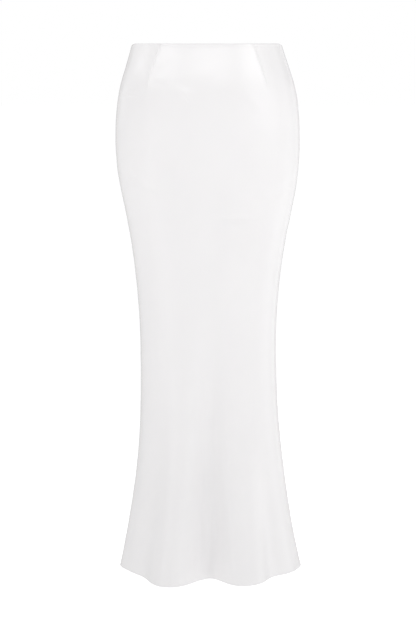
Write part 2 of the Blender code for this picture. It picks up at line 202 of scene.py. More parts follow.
# Turned edges in metres: those of the seams and the waist run from the raw edge inside to the outer
# face, and the hem's runs back from the outer face
SEAM_FOLD = tuple(Fold(*row) for row in (
    (0.011, 0.00125), (0.0085, 0.0012), (0.0055, 0.00112), (0.003, 0.00106), (0.0013, 0.00098),
    (0.0004, 0.00085), (0.00004, 0.00062), (0.00005, 0.00042), (0.00022, 0.0002), (0.0007, 0.00006),
))
WAIST_FOLD = tuple(Fold(*row) for row in (
    (0.009, 0.00105), (0.007, 0.001), (0.0045, 0.00095), (0.0024, 0.0009), (0.001, 0.00082),
    (0.0003, 0.00066), (0.0, 0.00042), (0.00012, 0.00018), (0.0005, 0.00004),
))
HEM_FOLD = tuple(Fold(*row) for row in (
    (0.0012, -0.00018), (0.0004, -0.0001), (0.00004, 0.00015), (0.0, 0.0005), (0.00015, 0.00085),
    (0.0008, 0.00105), (0.002, 0.0011), (0.0034, 0.001), (0.0044, 0.0007),
))

# Rows of the cloth between its turned edges, and the last few as heights above the hem
ROW_RUNS = (RowRun(0.0014, 0.0082, 9), RowRun(0.0082, 0.120, 42), RowRun(0.120, 0.620, 104))
LOW_RUN = RowRun(0.620, LENGTH - 0.0065, 74)
HEM_ROWS = (0.0052, 0.0046, 0.0038, 0.0026)

# Columns beside a dart, as shares of their half width
DART_SIDE = (0.05, 0.12, 0.20, 0.31, 0.46, 0.68, 1.0)
DART_COLUMNS = (*(-share for share in reversed(DART_SIDE)), 0.0, *DART_SIDE)

# One bent tooth of the coil: shares of its half width across, and of its rise
COIL_TOOTH = ((-0.55, 0.0), (-0.75, 0.5), (-0.45, 1.0), (0.7, 1.0), (1.0, 0.5), (0.7, 0.0))

FRONT_DARTS = (Dart("start", 0.106, 0.107, 0.004, 0.078), Dart("end", 0.1035, 0.1055, 0.0, 0.078))
BACK_LEFT_DARTS = (Dart("end", 0.086, 0.092, 0.002, 0.112),)
BACK_RIGHT_DARTS = (Dart("start", 0.086, 0.092, 0.002, 0.112),)

FRONT_CREASES = tuple(Crease(*row) for row in (
    (-68, 0.092, 0.06, 0.0055, -0.0012, 4.0, 1.0), (-20, 0.104, 0.03, 0.004, -0.0006, 55.0, 0.0),
    (-23, 0.088, 0.06, 0.011, 0.0008, 25.0, 0.0), (-43, 0.073, 0.04, 0.009, -0.0003, 12.0, 0.0),
    (40, 0.106, 0.075, 0.012, 0.0006, 46.0, 0.0), (31, 0.318, 0.095, 0.0085, -0.0013, 2.0, 0.6),
    (1, 0.69, 0.04, 0.006, -0.0008, -45.0, 0.0), (0, 0.935, 0.36, 0.0185, 0.0058, 93.0, 0.0),
    (-42, 0.21, 0.26, 0.02, -0.0012, 86.0, 0.0), (6, 0.34, 0.32, 0.024, -0.0016, 92.0, 0.0),
    (-60, 0.25, 0.12, 0.009, -0.0008, 30.0, 1.2), (62, 0.27, 0.11, 0.009, -0.0008, -28.0, 1.0),
))
BACK_LEFT_CREASES = tuple(Crease(*row) for row in (
    (140, 0.305, 0.13, 0.01, -0.0018, 8.0, 1.4), (125, 0.345, 0.1, 0.008, -0.0011, 20.0, 0.8),
    (108, 0.25, 0.1, 0.009, -0.0009, -35.0, 0.9), (155, 0.48, 0.3, 0.024, -0.0014, 88.0, 0.0),
    (120, 0.56, 0.06, 0.007, -0.0008, 40.0, 0.0),
))
BACK_RIGHT_CREASES = tuple(Crease(*row) for row in (
    (-146, 0.315, 0.115, 0.01, -0.0016, -6.0, 1.4), (-121, 0.335, 0.11, 0.008, -0.0012, -22.0, 0.8),
    (-104, 0.235, 0.09, 0.008, -0.0009, 33.0, 0.9), (-158, 0.5, 0.26, 0.022, -0.0013, 93.0, 0.0),
    (-115, 0.61, 0.07, 0.008, -0.0008, -38.0, 0.0),
))


def spline_bends(knots: Array, values: Array) -> Array:
    """Second slopes of the natural cubic curve through the values.

    Args:
        knots: Rising places along the curve.
        values: The curve's height at each.

    Returns:
        The second slope at each knot, zero at both ends.
    """
    gaps = np.diff(knots)
    system = np.eye(len(knots))
    right = np.zeros(len(knots))
    for k in range(1, len(knots) - 1):
        system[k, k - 1 : k + 2] = gaps[k - 1], 2.0 * (gaps[k - 1] + gaps[k]), gaps[k]
        right[k] = 6.0 * ((values[k + 1] - values[k]) / gaps[k] - (values[k] - values[k - 1]) / gaps[k - 1])
    return np.linalg.solve(system, right)


class Curve:
    """A smooth curve through a table's values, with no kink in its bending."""

    def __init__(self, knots: Array, values: Array) -> None:
        """Keeps the table and works out the bends.

        Args:
            knots: Rising places along the curve.
            values: The curve's height at each.
        """
        self.knots = np.asarray(knots, float)
        self.values = np.asarray(values, float)
        self.bends = spline_bends(self.knots, self.values)

    @classmethod
    def all_round(cls, azimuths: Array, values: Array) -> Curve:
        """A curve over three turns from values over one, so that it joins up at the back."""
        turns = np.repeat((-360.0, 0.0, 360.0), len(azimuths))
        return cls(np.tile(azimuths, 3) + turns, np.tile(values, 3))

    def __call__(self, at: Array) -> Array:
        """The curve's height.

        Args:
            at: Places along the curve.

        Returns:
            The height at each.
        """
        at = np.clip(at, self.knots[0], self.knots[-1])
        k = np.clip(np.searchsorted(self.knots, at) - 1, 0, len(self.knots) - 2)
        gap = self.knots[k + 1] - self.knots[k]
        b = (at - self.knots[k]) / gap
        a = 1.0 - b
        bent = (a**3 - a) * self.bends[k] + (b**3 - b) * self.bends[k + 1]
        return a * self.values[k] + b * self.values[k + 1] + bent * gap**2 / 6.0


class SkirtForm:
    """The worn form of the skirt: where its outer face lies at each azimuth and drop."""

    TRACE_STEP = 0.5
    FACING_STEP = 0.2
    FACING_DROP = 0.0005
    FLUTE_SOFTNESS = 2.8

    def __init__(self) -> None:
        """Makes a curve of each column of the tables."""
        sections = np.array(SECTIONS).T
        flutes = self.soften(np.array(FLUTES, float).T)
        dips = np.array(WAIST_DIPS, float).T
        self.sizes = [Curve(sections[0], values) for values in sections[1:]]
        self.hem_reach = Curve.all_round(flutes[0], flutes[1])
        self.flute_start = Curve.all_round(flutes[0], flutes[2])
        self.waist_dip = Curve.all_round(dips[0], dips[1])

    @classmethod
    def soften(cls, flutes: Array) -> Array:
        """Rounds the flute table off, so that its ridges bend evenly.

        Args:
            flutes: The table's columns.

        Returns:
            The same columns at every degree, each averaged over its neighbours.
        """
        azimuth = np.arange(-180.0, 180.0)
        apart = np.abs(azimuth[:, None] - azimuth[None, :])
        share = np.exp(-0.5 * (np.minimum(apart, 360.0 - apart) / cls.FLUTE_SOFTNESS) ** 2)
        share /= share.sum(axis=1, keepdims=True)
        columns = [share @ Curve.all_round(flutes[0], column)(azimuth) for column in flutes[1:]]
        return np.array([azimuth, *columns])

    def body_reach(self, azimuth: Array, drop: Array) -> Array:
        """Distance of the unfluted cloth from the upright axis.

        Args:
            azimuth: Degrees.
            drop: Distance below the waist.

        Returns:
            The distance for each pair.
        """
        to_right, to_left, to_front, to_back, power = (size(drop) for size in self.sizes)
        across = np.sin(np.radians(azimuth))
        ahead = np.cos(np.radians(azimuth))
        width = np.where(across > 0.0, to_left, to_right)
        depth = np.where(ahead > 0.0, to_front, to_back)
        return (np.abs(across / width) ** power + np.abs(ahead / depth) ** power) ** (-1.0 / power)

    def reach(self, azimuth: Array, drop: Array) -> Array:
        """Distance of the cloth's outer face from the upright axis, flutes included.

        Args:
            azimuth: Degrees.
            drop: Distance below the waist.

        Returns:
            The distance for each pair.
        """
        start = self.flute_start(azimuth)
        grown = np.clip((drop - start) / (LENGTH - start), 0.0, 1.0) ** FLUTE_GROWTH
        hem = np.full_like(np.asarray(drop, float), LENGTH)
        flare = self.hem_reach(azimuth) - self.body_reach(azimuth, hem)
        return self.body_reach(azimuth, drop) + grown * flare

    def points(self, azimuth: Array, drop: Array) -> Array:
        """Points of the outer face at pairs of azimuth and drop, with x, y and z last."""
        distance, turn = self.reach(azimuth, drop), np.radians(azimuth)
        return np.stack([distance * np.sin(turn), -distance * np.cos(turn), -drop], axis=-1)

    def outward(self, azimuth: Array, drop: Array) -> Array:
        """Unit vectors square to the outer face, pointing away from the wearer.

        Args:
            azimuth: Degrees.
            drop: Distance below the waist.

        Returns:
            The vectors, with x, y and z last.
        """
        step, lower = self.FACING_STEP, self.FACING_DROP
        along = self.points(azimuth + step, drop) - self.points(azimuth - step, drop)
        down = self.points(azimuth, drop + lower) - self.points(azimuth, drop - lower)
        facing = np.cross(down, along)
        return facing / np.linalg.norm(facing, axis=-1, keepdims=True)

    def dip(self, azimuth: Array, row: Array) -> Array:
        """How far the cloth at a row lies below it, so that rows follow the waist edge."""
        fade = np.clip(1.0 - row / WAIST_DIP_REACH, 0.0, 1.0) ** 2
        return np.maximum(self.waist_dip(azimuth), 0.0) * fade

    @cache
    def trace(self, start: float, end: float, row: float) -> Pair:
        """Walks round the outer face at one row.

        Args:
            start: Azimuth of the first point.
            end: Azimuth of the last point.
            row: Distance below the waist.

        Returns:
            Azimuths, and the distance walked to each.
        """
        azimuth = np.arange(start, end + self.TRACE_STEP / 2, self.TRACE_STEP)
        line = self.points(azimuth, np.full_like(azimuth, row))
        steps = np.linalg.norm(np.diff(line, axis=0), axis=1)
        return azimuth, np.concatenate([[0.0], np.cumsum(steps)])


# Materials


class ShaderTree:
    """Short words for building a material's nodes."""

    def __init__(self, name: str) -> None:
        """Starts a material.

        Args:
            name: The material's name.
        """
        self.material = bpy.data.materials.new(name)
        self.material.use_nodes = True
        self.nodes = self.material.node_tree.nodes
        self.shader = self.nodes["Principled BSDF"]

    def feed(self, node: bpy.types.Node, inputs: dict[str, object]) -> None:
        """Sets a node's inputs, or links them to other nodes.

        Args:
            node: The node.
            inputs: A number, a colour or an output socket for each input's name.
        """
        for name, value in inputs.items():
            if isinstance(value, Socket):
                self.material.node_tree.links.new(value, node.inputs[name])
            else:
                node.inputs[name].default_value = value

    def add(self, kind: str, inputs: dict[str, object], **settings: object) -> bpy.types.Node:
        """Adds a node.

        Args:
            kind: The node's Blender type.
            inputs: What its inputs are fed.
            **settings: Its properties.

        Returns:
            The node.
        """
        node = self.nodes.new(kind)
        for key, value in settings.items():
            setattr(node, key, value)
        self.feed(node, inputs)
        return node

    def place(self, layer: str | None, scale: float, turn: float = 0.0) -> Socket:
        """Coordinates on the cloth's own map, or the object's when no layer is named.

        Args:
            layer: Name of a UV layer, or None.
            scale: Size factor from metres to pattern units.
            turn: Degrees that the pattern is turned by.

        Returns:
            The socket that holds them.
        """
        if layer:
            source = self.add("ShaderNodeUVMap", {}, uv_map=layer).outputs["UV"]
        else:
            source = self.add("ShaderNodeTexCoord", {}).outputs["Object"]
        inputs = {"Vector": source, "Scale": (scale,) * 3, "Rotation": (0.0, 0.0, math.radians(turn))}
        return self.add("ShaderNodeMapping", inputs).outputs["Vector"]

    def noise(self, place: Socket, detail: float = 2.0) -> Socket:
        """An uneven pattern, about 0..1, over the given coordinates."""
        inputs = {"Vector": place, "Scale": 1.0, "Detail": detail}
        return self.add("ShaderNodeTexNoise", inputs).outputs["Fac"]

    def span(self, value: Socket, low: float, high: float) -> Socket:
        """Maps a pattern from 0..1 to low..high."""
        inputs = {"Value": value, "To Min": low, "To Max": high}
        return self.add("ShaderNodeMapRange", inputs).outputs["Result"]

    def bump(self, height: Socket, depth: float, under: Socket | None = None) -> Socket:
        """A bump of a real depth, over another if one is given.

        Args:
            height: The pattern, 0..1.
            depth: Metres from 0 to 1.
            under: Normal socket of a bump below this one.

        Returns:
            The normal socket.
        """
        inputs = {"Strength": 1.0, "Distance": depth, "Height": height}
        if under is not None:
            inputs["Normal"] = under
        return self.add("ShaderNodeBump", inputs).outputs["Normal"]

    def tint(self, value: Socket, dark: Colour, pale: Colour) -> None:
        """Colours the surface between two shades by a pattern.

        Args:
            value: The pattern, 0..1.
            dark: Colour at 0.
            pale: Colour at 1.
        """
        node = self.add("ShaderNodeMix", {"Factor": value}, data_type="RGBA")
        ends = [socket for socket in node.inputs if socket.type == "RGBA"]
        for end, colour in zip(ends, (dark, pale)):
            end.default_value = (*colour, 1.0)
        mixed = next(socket for socket in node.outputs if socket.type == "RGBA")
        self.feed(self.shader, {"Base Color": mixed})


@dataclass(frozen=True)
class SatinFinish:
    """White satin cut on the bias: floats at 45 degrees, a smooth face and a duller back."""

    name: str = "satin_face"
    dark: Colour = (0.838, 0.826, 0.832)
    pale: Colour = (0.868, 0.856, 0.861)
    roughness: tuple[float, float] = (0.20, 0.26)
    bias: float = 45.0
    float_length: float = 0.0016
    float_width: float = 0.22
    float_gap: float = 0.03
    float_offset: float = 0.4
    float_depth: float = 0.000016
    slub_scale: float = 55.0
    wear_scale: float = 9.0
    slub_depth: float = 0.00008
    anisotropy: float = 0.30
    gloss: float = 0.8

    def material(self) -> bpy.types.Material:
        """Builds the finish.

        Returns:
            The material.
        """
        tree = ShaderTree(self.name)
        weave = {
            "Vector": tree.place("cloth", 1.0 / self.float_length, self.bias),
            "Scale": 1.0,
            "Mortar Size": self.float_gap,
            "Mortar Smooth": 1.0,
            "Brick Width": 1.0,
            "Row Height": self.float_width,
        }
        floats = tree.add("ShaderNodeTexBrick", weave, offset=self.float_offset, squash=1.0)
        slubs = tree.noise(tree.place("cloth", self.slub_scale, self.bias), detail=3.0)
        tree.tint(tree.noise(tree.place("cloth", self.wear_scale)), self.dark, self.pale)
        slubbed = tree.bump(slubs, self.slub_depth)
        looks = {
            "Roughness": tree.span(slubs, *self.roughness),
            "Normal": tree.bump(floats.outputs["Fac"], -self.float_depth, slubbed),
            "Specular IOR Level": self.gloss,
            "Anisotropic": self.anisotropy,
        }
        tree.feed(tree.shader, looks)
        return tree.material


@dataclass(frozen=True)
class TapeFinish:
    """Plain woven polyester with a fine matt rib."""

    name: str = "zip_tape_weave"
    dark: Colour = (0.78, 0.78, 0.775)
    pale: Colour = (0.86, 0.86, 0.85)
    roughness: float = 0.8
    rib: float = 0.0007
    rib_depth: float = 0.00008
    rib_wobble: float = 0.6
    scale: float = 20.0

    def material(self) -> bpy.types.Material:
        """Builds the finish.

        Returns:
            The material.
        """
        tree = ShaderTree(self.name)
        wave = {
            "Vector": tree.place(None, self.scale),
            "Scale": 1.0 / self.rib / self.scale,
            "Distortion": self.rib_wobble,
        }
        ribs = tree.add("ShaderNodeTexWave", wave, wave_type="BANDS", bands_direction="Z").outputs["Fac"]
        tree.tint(ribs, self.dark, self.pale)
        normal = tree.bump(ribs, self.rib_depth)
        tree.feed(tree.shader, {"Roughness": self.roughness, "Normal": normal})
        return tree.material


@dataclass(frozen=True)
class ThreadFinish:
    """Glossy white sewing thread or coil wire with a fine twist."""

    name: str = "sewing_thread"
    dark: Colour = (0.80, 0.80, 0.80)
    pale: Colour = (0.90, 0.90, 0.89)
    roughness: float = 0.45
    twist: float = 900.0
    twist_depth: float = 0.00003

    def material(self) -> bpy.types.Material:
        """Builds the finish.

        Returns:
            The material.
        """
        tree = ShaderTree(self.name)
        strands = tree.noise(tree.place(None, self.twist))
        tree.tint(strands, self.dark, self.pale)
        normal = tree.bump(strands, self.twist_depth)
        tree.feed(tree.shader, {"Roughness": self.roughness, "Normal": normal})
        return tree.material


@dataclass(frozen=True)
class LacquerFinish:
    """White lacquer over a small metal casting, worn a little duller in patches."""

    name: str = "white_lacquer"
    dark: Colour = (0.78, 0.78, 0.77)
    pale: Colour = (0.86, 0.86, 0.85)
    roughness: tuple[float, float] = (0.22, 0.38)
    patch_scale: float = 350.0
    patch_depth: float = 0.00003
    coat: float = 0.4

    def material(self) -> bpy.types.Material:
        """Builds the finish.

        Returns:
            The material.
        """
        tree = ShaderTree(self.name)
        patches = tree.noise(tree.place(None, self.patch_scale), detail=4.0)
        tree.tint(patches, self.dark, self.pale)
        looks = {
            "Roughness": tree.span(patches, *self.roughness),
            "Normal": tree.bump(patches, self.patch_depth),
            "Coat Weight": self.coat,
        }
        tree.feed(tree.shader, looks)
        return tree.material


class Finish(Enum):
    """The finishes that pieces are dressed in."""

    SATIN_FACE = SatinFinish()
    SATIN_BACK = SatinFinish(
        name="satin_back",
        dark=(0.80, 0.794, 0.797),
        pale=(0.84, 0.834, 0.837),
        roughness=(0.60, 0.72),
        float_depth=0.00002,
        anisotropy=0.0,
        gloss=0.4,
    )
    TAPE = TapeFinish()
    THREAD = ThreadFinish()
    LACQUER = LacquerFinish()

    @property
    def made(self) -> bpy.types.Material:
        """The material, built the first time that it is asked for."""
        return bpy.data.materials.get(self.value.name) or self.value.material()


# Cloth


def mesh_object(name: str, points: Array, faces: Faces) -> Thing:
    """Makes an object from points and faces.

    Args:
        name: The object's name.
        points: One row of x, y and z for each point.
        faces: Point numbers, anticlockwise from outside.

    Returns:
        The object, shaded smooth.
    """
    mesh = bpy.data.meshes.new(name)
    mesh.from_pydata([tuple(point) for point in points], [], faces)
    mesh.update()
    mesh.shade_smooth()
    thing = bpy.data.objects.new(name, mesh)
    bpy.context.scene.collection.objects.link(thing)
    return thing


def grid_faces(rows: int, columns: int) -> Faces:
    """Faces of a grid of points whose rows run down and whose columns run to the wearer's left."""
    corners = [row * columns + column for row in range(rows - 1) for column in range(columns - 1)]
    return [(corner, corner + columns, corner + columns + 1, corner + 1) for corner in corners]


def thicken(sheet: Thing, thickness: float, back: int = 0) -> None:
    """Gives a sheet its thickness, behind the face that was drawn.

    Args:
        sheet: The sheet.
        thickness: Metres.
        back: How many slots after the face's material the back's comes.
    """
    wall = sheet.modifiers.new("cloth_thickness", "SOLIDIFY")
    wall.thickness = thickness
    wall.offset = -1.0
    wall.material_offset = back
    bpy.ops.object.select_all(action="DESELECT")
    bpy.context.view_layer.objects.active = sheet
    sheet.select_set(True)
    bpy.ops.object.modifier_apply(modifier=wall.name)
    sheet.select_set(False)


def crease_height(crease: Crease, azimuth: Array, drop: Array, radius: Array) -> Array:
    """How far a crease lifts the cloth, with low shoulders beside a trough.

    Args:
        crease: The crease.
        azimuth: Degrees of each point.
        drop: Drop of each point.
        radius: Distance of each point from the upright axis.

    Returns:
        The lift of each point.
    """
    across = np.radians(azimuth - crease.azimuth) * radius
    down = drop - crease.drop
    lean = math.radians(crease.lean)
    u = across * math.cos(lean) + down * math.sin(lean)
    v = down * math.cos(lean) - across * math.sin(lean) + crease.bend * u**2
    taper = np.clip(1.0 - (u / (crease.length / 2.0)) ** 2, 0.0, 1.0) ** 2
    w = (v / crease.width) ** 2
    return crease.depth * taper * (1.0 - CREASE_SHOULDER * w) * np.exp(-w)


@dataclass
class ClothPanel:
    """One cut panel of satin with its seam allowances, waist turning and rolled hem."""

    node: str
    start: float
    end: float
    form: SkirtForm
    darts: tuple[Dart, ...]
    creases: tuple[Crease, ...]
    side_cells: int = 34
    middle_cells: int = 66
    thickness: float = 0.00035
    lip: float = 0.00154
    dart_half_width: float = 0.004
    free_half_width: float = 0.016
    dart_release: float = 0.10
    dart_groove: float = 0.00022
    dart_edge: float = 0.0008
    dart_roll: float = 0.0013
    dart_roll_width: float = 0.0017
    dart_ridge: float = 0.0009
    dart_spread: float = 0.013
    dart_reach: float = 1.3
    dart_fade: float = 0.6
    dent: float = 0.00014
    dent_width: float = 0.0008
    bead: float = 0.00010
    bead_width: float = 0.0014
    pucker: float = 0.00007
    dart_puckers: Puckers = Puckers(0.0083, 0.006, 1.3, 90.0)
    seam_puckers: Puckers = Puckers(0.0115, 0.0075, 2.1, 37.0)
    seam_sink: float = 0.000175
    seam_sink_width: float = 0.004
    ripple: float = 0.00006
    ripple_count: int = 5
    ripple_turn: float = 37.0
    ripple_pitch: float = 0.021
    ripple_step: float = 0.009
    ripple_shift: float = 1.7
    ripple_beat: float = 11.0
    zip_gap: float = 0.00125
    zip_gap_end: float = 0.030
    zip_gap_close: float = 0.012

    def walk(self, row: float) -> Pair:
        """The outer face's azimuths at a row, and their distances from the start edge."""
        return self.form.trace(self.start, self.end, row)

    def width(self, row: float) -> float:
        """The panel's width at a row."""
        return float(self.walk(row)[1][-1])

    def rows(self) -> list[Fold]:
        """The grid's rows: their drop and depth, from the waist turning's raw edge to the hem's.

        Returns:
            One entry for each row.
        """
        down = [Fold(line.distance, line.depth) for line in WAIST_FOLD]
        runs = [np.linspace(*run, endpoint=False) for run in ROW_RUNS]
        places = np.concatenate([*runs, np.linspace(*LOW_RUN), LENGTH - np.array(HEM_ROWS)])
        down += [Fold(place, self.edge_bead(place)) for place in places.tolist()]
        down += [Fold(LENGTH - line.distance, line.depth) for line in HEM_FOLD]
        return down

    def edge_bead(self, drop: float) -> float:
        """Depth of the outer face near a turned edge: a dent at the stitching, a bead beyond it.

        Args:
            drop: Distance below the waist edge.

        Returns:
            The depth.
        """
        depth = 0.0
        for edge, stitching in ((0.0, WAIST_STITCHING), (LENGTH, HEM_STITCHING)):
            away = abs(drop - edge)
            depth += self.dent * math.exp(-(((away - stitching) / self.dent_width) ** 2))
            depth -= self.bead * math.exp(-(((away - stitching / 2.0) / self.bead_width) ** 2))
        return depth

    def opening(self, azimuth: float, row: float) -> float:
        """Half of the gap at an edge: the centre back seam parts at the zip slider.

        Args:
            azimuth: The edge's azimuth.
            row: Drop of the row.

        Returns:
            The distance from the seam line to the panel's fold.
        """
        if abs(azimuth) != CENTRE_BACK:
            return 0.0
        closed = min(max((row - self.zip_gap_end) / self.zip_gap_close, 0.0), 1.0)
        return self.zip_gap * (1.0 - closed * closed * (3.0 - 2.0 * closed))

    def dart_place(self, dart: Dart, row: float) -> float:
        """Distance of a dart's line from the panel's start, carried on below its tip.

        Args:
            dart: The dart.
            row: Drop of the row.

        Returns:
            The distance.
        """
        down = min(row / dart.length, 1.0)
        from_edge = dart.at_waist + (dart.at_tip - dart.at_waist) * down
        from_edge -= dart.bow * math.sin(math.pi * down)
        width = self.width(min(row, dart.length))
        line = from_edge if dart.edge == "start" else width - from_edge
        return line * self.width(row) / width

    def row_columns(self, row: float) -> Pair:
        """Places and depths of one row's points.

        Args:
            row: Drop of the row.

        Returns:
            Distances from the panel's start edge, and depths below the outer face.
        """
        first = self.opening(self.start, row)
        last = self.width(row) - self.opening(self.end, row)
        stops = [(first + self.lip, self.side_cells)]
        freed = [min(max((row - dart.length) / self.dart_release, 0.0), 1.0) for dart in self.darts]
        for number, dart in enumerate(self.darts):
            line = self.dart_place(dart, row)
            half = self.dart_half_width + (self.free_half_width - self.dart_half_width) * freed[number]
            after = self.side_cells if number == len(self.darts) - 1 else self.middle_cells
            stops += [(line + half * share, 1) for share in DART_COLUMNS[:-1]]
            stops.append((line + half, after))
        stops.append((last - self.lip, 0))
        places = [first + fold.distance for fold in SEAM_FOLD]
        depths = [fold.depth for fold in SEAM_FOLD]
        for (near, cells), (far, _) in zip(stops, stops[1:]):
            places += list(np.linspace(near, far, cells, endpoint=False))
        places.append(stops[-1][0])
        depths += [0.0] * (len(places) - len(depths))
        places += [last - fold.distance for fold in reversed(SEAM_FOLD)]
        depths += [fold.depth for fold in reversed(SEAM_FOLD)]
        return np.array(places), np.array(depths)

    def dart_lift(self, dart: Dart, row: Array, place: Array) -> Array:
        """How far a sewn dart moves the cloth out: a groove, a roll beside it and small puckers.

        Args:
            dart: The dart.
            row: Drop of each row, as a column.
            place: Distance of each point from the panel's start edge.

        Returns:
            The lift of each point.
        """
        line = np.array([[self.dart_place(dart, drop)] for drop in row[:, 0]])
        inward = (place - line) * (1.0 if dart.edge == "start" else -1.0)
        if CENTRE_BACK in (abs(self.start), abs(self.end)):
            inward = -inward
        away = np.abs(inward)
        sewn = np.sqrt(np.clip(1.0 - row / dart.length, 0.0, 1.0))
        total = -self.dart_groove * sewn * np.exp(-((away / self.dart_edge) ** 2))
        roll = np.exp(-(((inward - self.dart_roll_width) / self.dart_roll_width) ** 2))
        total += self.dart_roll * sewn**0.5 * roll
        spread = np.clip(1.0 - row / (dart.length * self.dart_reach), 0.0, 1.0) ** self.dart_fade
        total += self.dart_ridge * spread * np.exp(-away / self.dart_spread)
        puckers = self.dart_puckers
        return total + self.pucker * sewn * puckers.wave(row) * puckers.fade(away)

    def lift(self, azimuth: Array, row: Array, place: Array) -> Array:
        """How far creases, darts, puckers at the seams and faint ripples move the cloth out.

        Args:
            azimuth: Degrees of each point, one line for each row.
            row: Drop of each row, as a column.
            place: Distance of each point from the panel's start edge.

        Returns:
            The lift of each point.
        """
        radius = self.form.reach(azimuth, row)
        total = np.zeros_like(place)
        for crease in self.creases:
            total += crease_height(crease, azimuth, row, radius)
        for dart in self.darts:
            total += self.dart_lift(dart, row, place)
        widths = np.array([[self.width(drop)] for drop in row[:, 0]])
        near = np.minimum(place, widths - place)
        total += self.pucker * self.seam_puckers.wave(row, self.start) * self.seam_puckers.fade(near)
        total -= self.seam_sink * np.exp(-((near / self.seam_sink_width) ** 2))
        for number in range(1, self.ripple_count + 1):
            tilt = math.radians(self.ripple_turn * number)
            wave = 2.0 * math.pi / (self.ripple_pitch + self.ripple_step * number)
            phase = place * math.cos(tilt) + row * math.sin(tilt)
            shift = self.ripple_shift * number + np.sin(row * self.ripple_beat + number)
            total += self.ripple * np.sin(phase * wave + shift)
        return total

    def settle(self, place: Array, rows: list[float], depth: Array) -> Pair:
        """Points of the creased cloth, and the ways that they face.

        Args:
            place: Distances from the start edge, one line for each row.
            rows: Drop of each row.
            depth: Depth of each point below the outer face.

        Returns:
            The points and the facing vectors, with x, y and z last.
        """
        azimuth = np.array([np.interp(line, *self.walk(row)[::-1]) for line, row in zip(place, rows)])
        row = np.array(rows)[:, None]
        drop = row + self.form.dip(azimuth, row)
        facing = self.form.outward(azimuth, drop)
        out = self.lift(azimuth, row, place) - depth
        return self.form.points(azimuth, drop) + facing * out[..., None], facing

    def build(self) -> Thing:
        """Makes the panel as one thin sheet.

        Returns:
            The panel, in place of its solid.
        """
        lines = self.rows()
        rows = [line.distance for line in lines]
        columns = [self.row_columns(row) for row in rows]
        place = np.array([places for places, _ in columns])
        depth = np.array([depths + line.depth for (_, depths), line in zip(columns, lines)])
        points, _ = self.settle(place, rows, depth)
        sheet = mesh_object(f"{self.node}_satin", points.reshape(-1, 3), grid_faces(*place.shape))
        wide = np.array([self.width(row) for row in rows])
        self.map_cloth(sheet, place - wide[:, None] / 2.0, points[..., 2])
        sheet.data.materials.append(Finish.SATIN_FACE.made)
        sheet.data.materials.append(Finish.SATIN_BACK.made)
        thicken(sheet, self.thickness, back=1)
        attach(sheet, "skirt")
        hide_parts(self.node)
        return sheet

    @staticmethod
    def map_cloth(sheet: Thing, across: Array, down: Array) -> None:
        """Gives the cloth a map in metres, so that its weave follows the cut.

        Args:
            sheet: The panel.
            across: Distance of each point from the panel's middle.
            down: Height of each point.
        """
        layer = sheet.data.uv_layers.new(name="cloth")
        corners = np.empty(len(sheet.data.loops), np.int32)
        sheet.data.loops.foreach_get("vertex_index", corners)
        flat = np.stack([across.ravel()[corners], down.ravel()[corners]], axis=1)
        layer.data.foreach_set("uv", flat.astype(np.float32).ravel())


# Sewing and zip


def joined(name: str, shapes: list[Mesh]) -> Thing:
    """Joins small shapes with as many points each to one object.

    Args:
        name: The object's name.
        shapes: The points and faces of each.

    Returns:
        The object, shaded smooth.
    """
    faces: Faces = []
    for number, (points, own) in enumerate(shapes):
        shift = number * len(points)
        faces += [tuple(corner + shift for corner in face) for face in own]
    return mesh_object(name, np.concatenate([points for points, _ in shapes]), faces)


@dataclass(frozen=True)
class StitchRow:
    """One row of machine stitches all round the skirt, half sunk in the cloth."""

    name: str
    drop: float
    pitch: float = 0.0029
    length: float = 0.0021
    radius: float = 0.00014
    proud: float = 0.00004
    sides: int = 6
    rings: int = 5
    flatness: float = 0.7

    def shape(self) -> Mesh:
        """Models one stitch as a stretched ball along X and takes its mesh.

        Returns:
            Points and faces.
        """
        bpy.ops.object.select_all(action="DESELECT")
        bpy.ops.mesh.primitive_uv_sphere_add(segments=self.sides, ring_count=self.rings, radius=self.radius)
        ball = bpy.context.active_object
        bpy.ops.object.mode_set(mode="EDIT")
        bpy.ops.mesh.select_all(action="SELECT")
        bpy.ops.transform.rotate(value=math.pi / 2, orient_axis="Y", center_override=(0.0, 0.0, 0.0))
        bpy.ops.transform.resize(value=(self.length / (2.0 * self.radius), 1.0, self.flatness))
        bpy.ops.object.mode_set(mode="OBJECT")
        points = np.array([vertex.co for vertex in ball.data.vertices])
        # A sphere's faces come in another order in each run
        faces = sorted(tuple(face.vertices) for face in ball.data.polygons)
        bpy.data.objects.remove(ball)
        return points, faces

    def sew(self, panels: tuple[ClothPanel, ...]) -> Thing:
        """Sews the row over every panel.

        Args:
            panels: The cloth that it holds.

        Returns:
            The stitches, joined.
        """
        ball, faces = self.shape()
        stitches = []
        for panel in panels:
            first = panel.opening(panel.start, self.drop) + self.pitch / 2.0
            last = panel.width(self.drop) - panel.opening(panel.end, self.drop) - self.pitch / 2.0
            middles = np.linspace(first, last, int((last - first) / self.pitch) + 1)[None]
            depth = np.full_like(middles, panel.edge_bead(self.drop) - self.proud)
            points, outward = panel.settle(middles, [self.drop], depth)
            for point, facing, run in zip(points[0], outward[0], np.gradient(points[0], axis=0)):
                x = Vector(run).normalized()
                y = Vector(facing).cross(x).normalized()
                turn = Matrix((x, y, x.cross(y))).transposed().to_quaternion()
                place = Matrix.LocRotScale(Vector(point), turn, None)
                sewn = (np.array(place.to_3x3()) @ ball.T).T + np.array(place.translation)
                stitches.append((sewn, faces))
        thing = joined(self.name, stitches)
        thing.data.materials.append(Finish.THREAD.made)
        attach(thing, "skirt")
        return thing


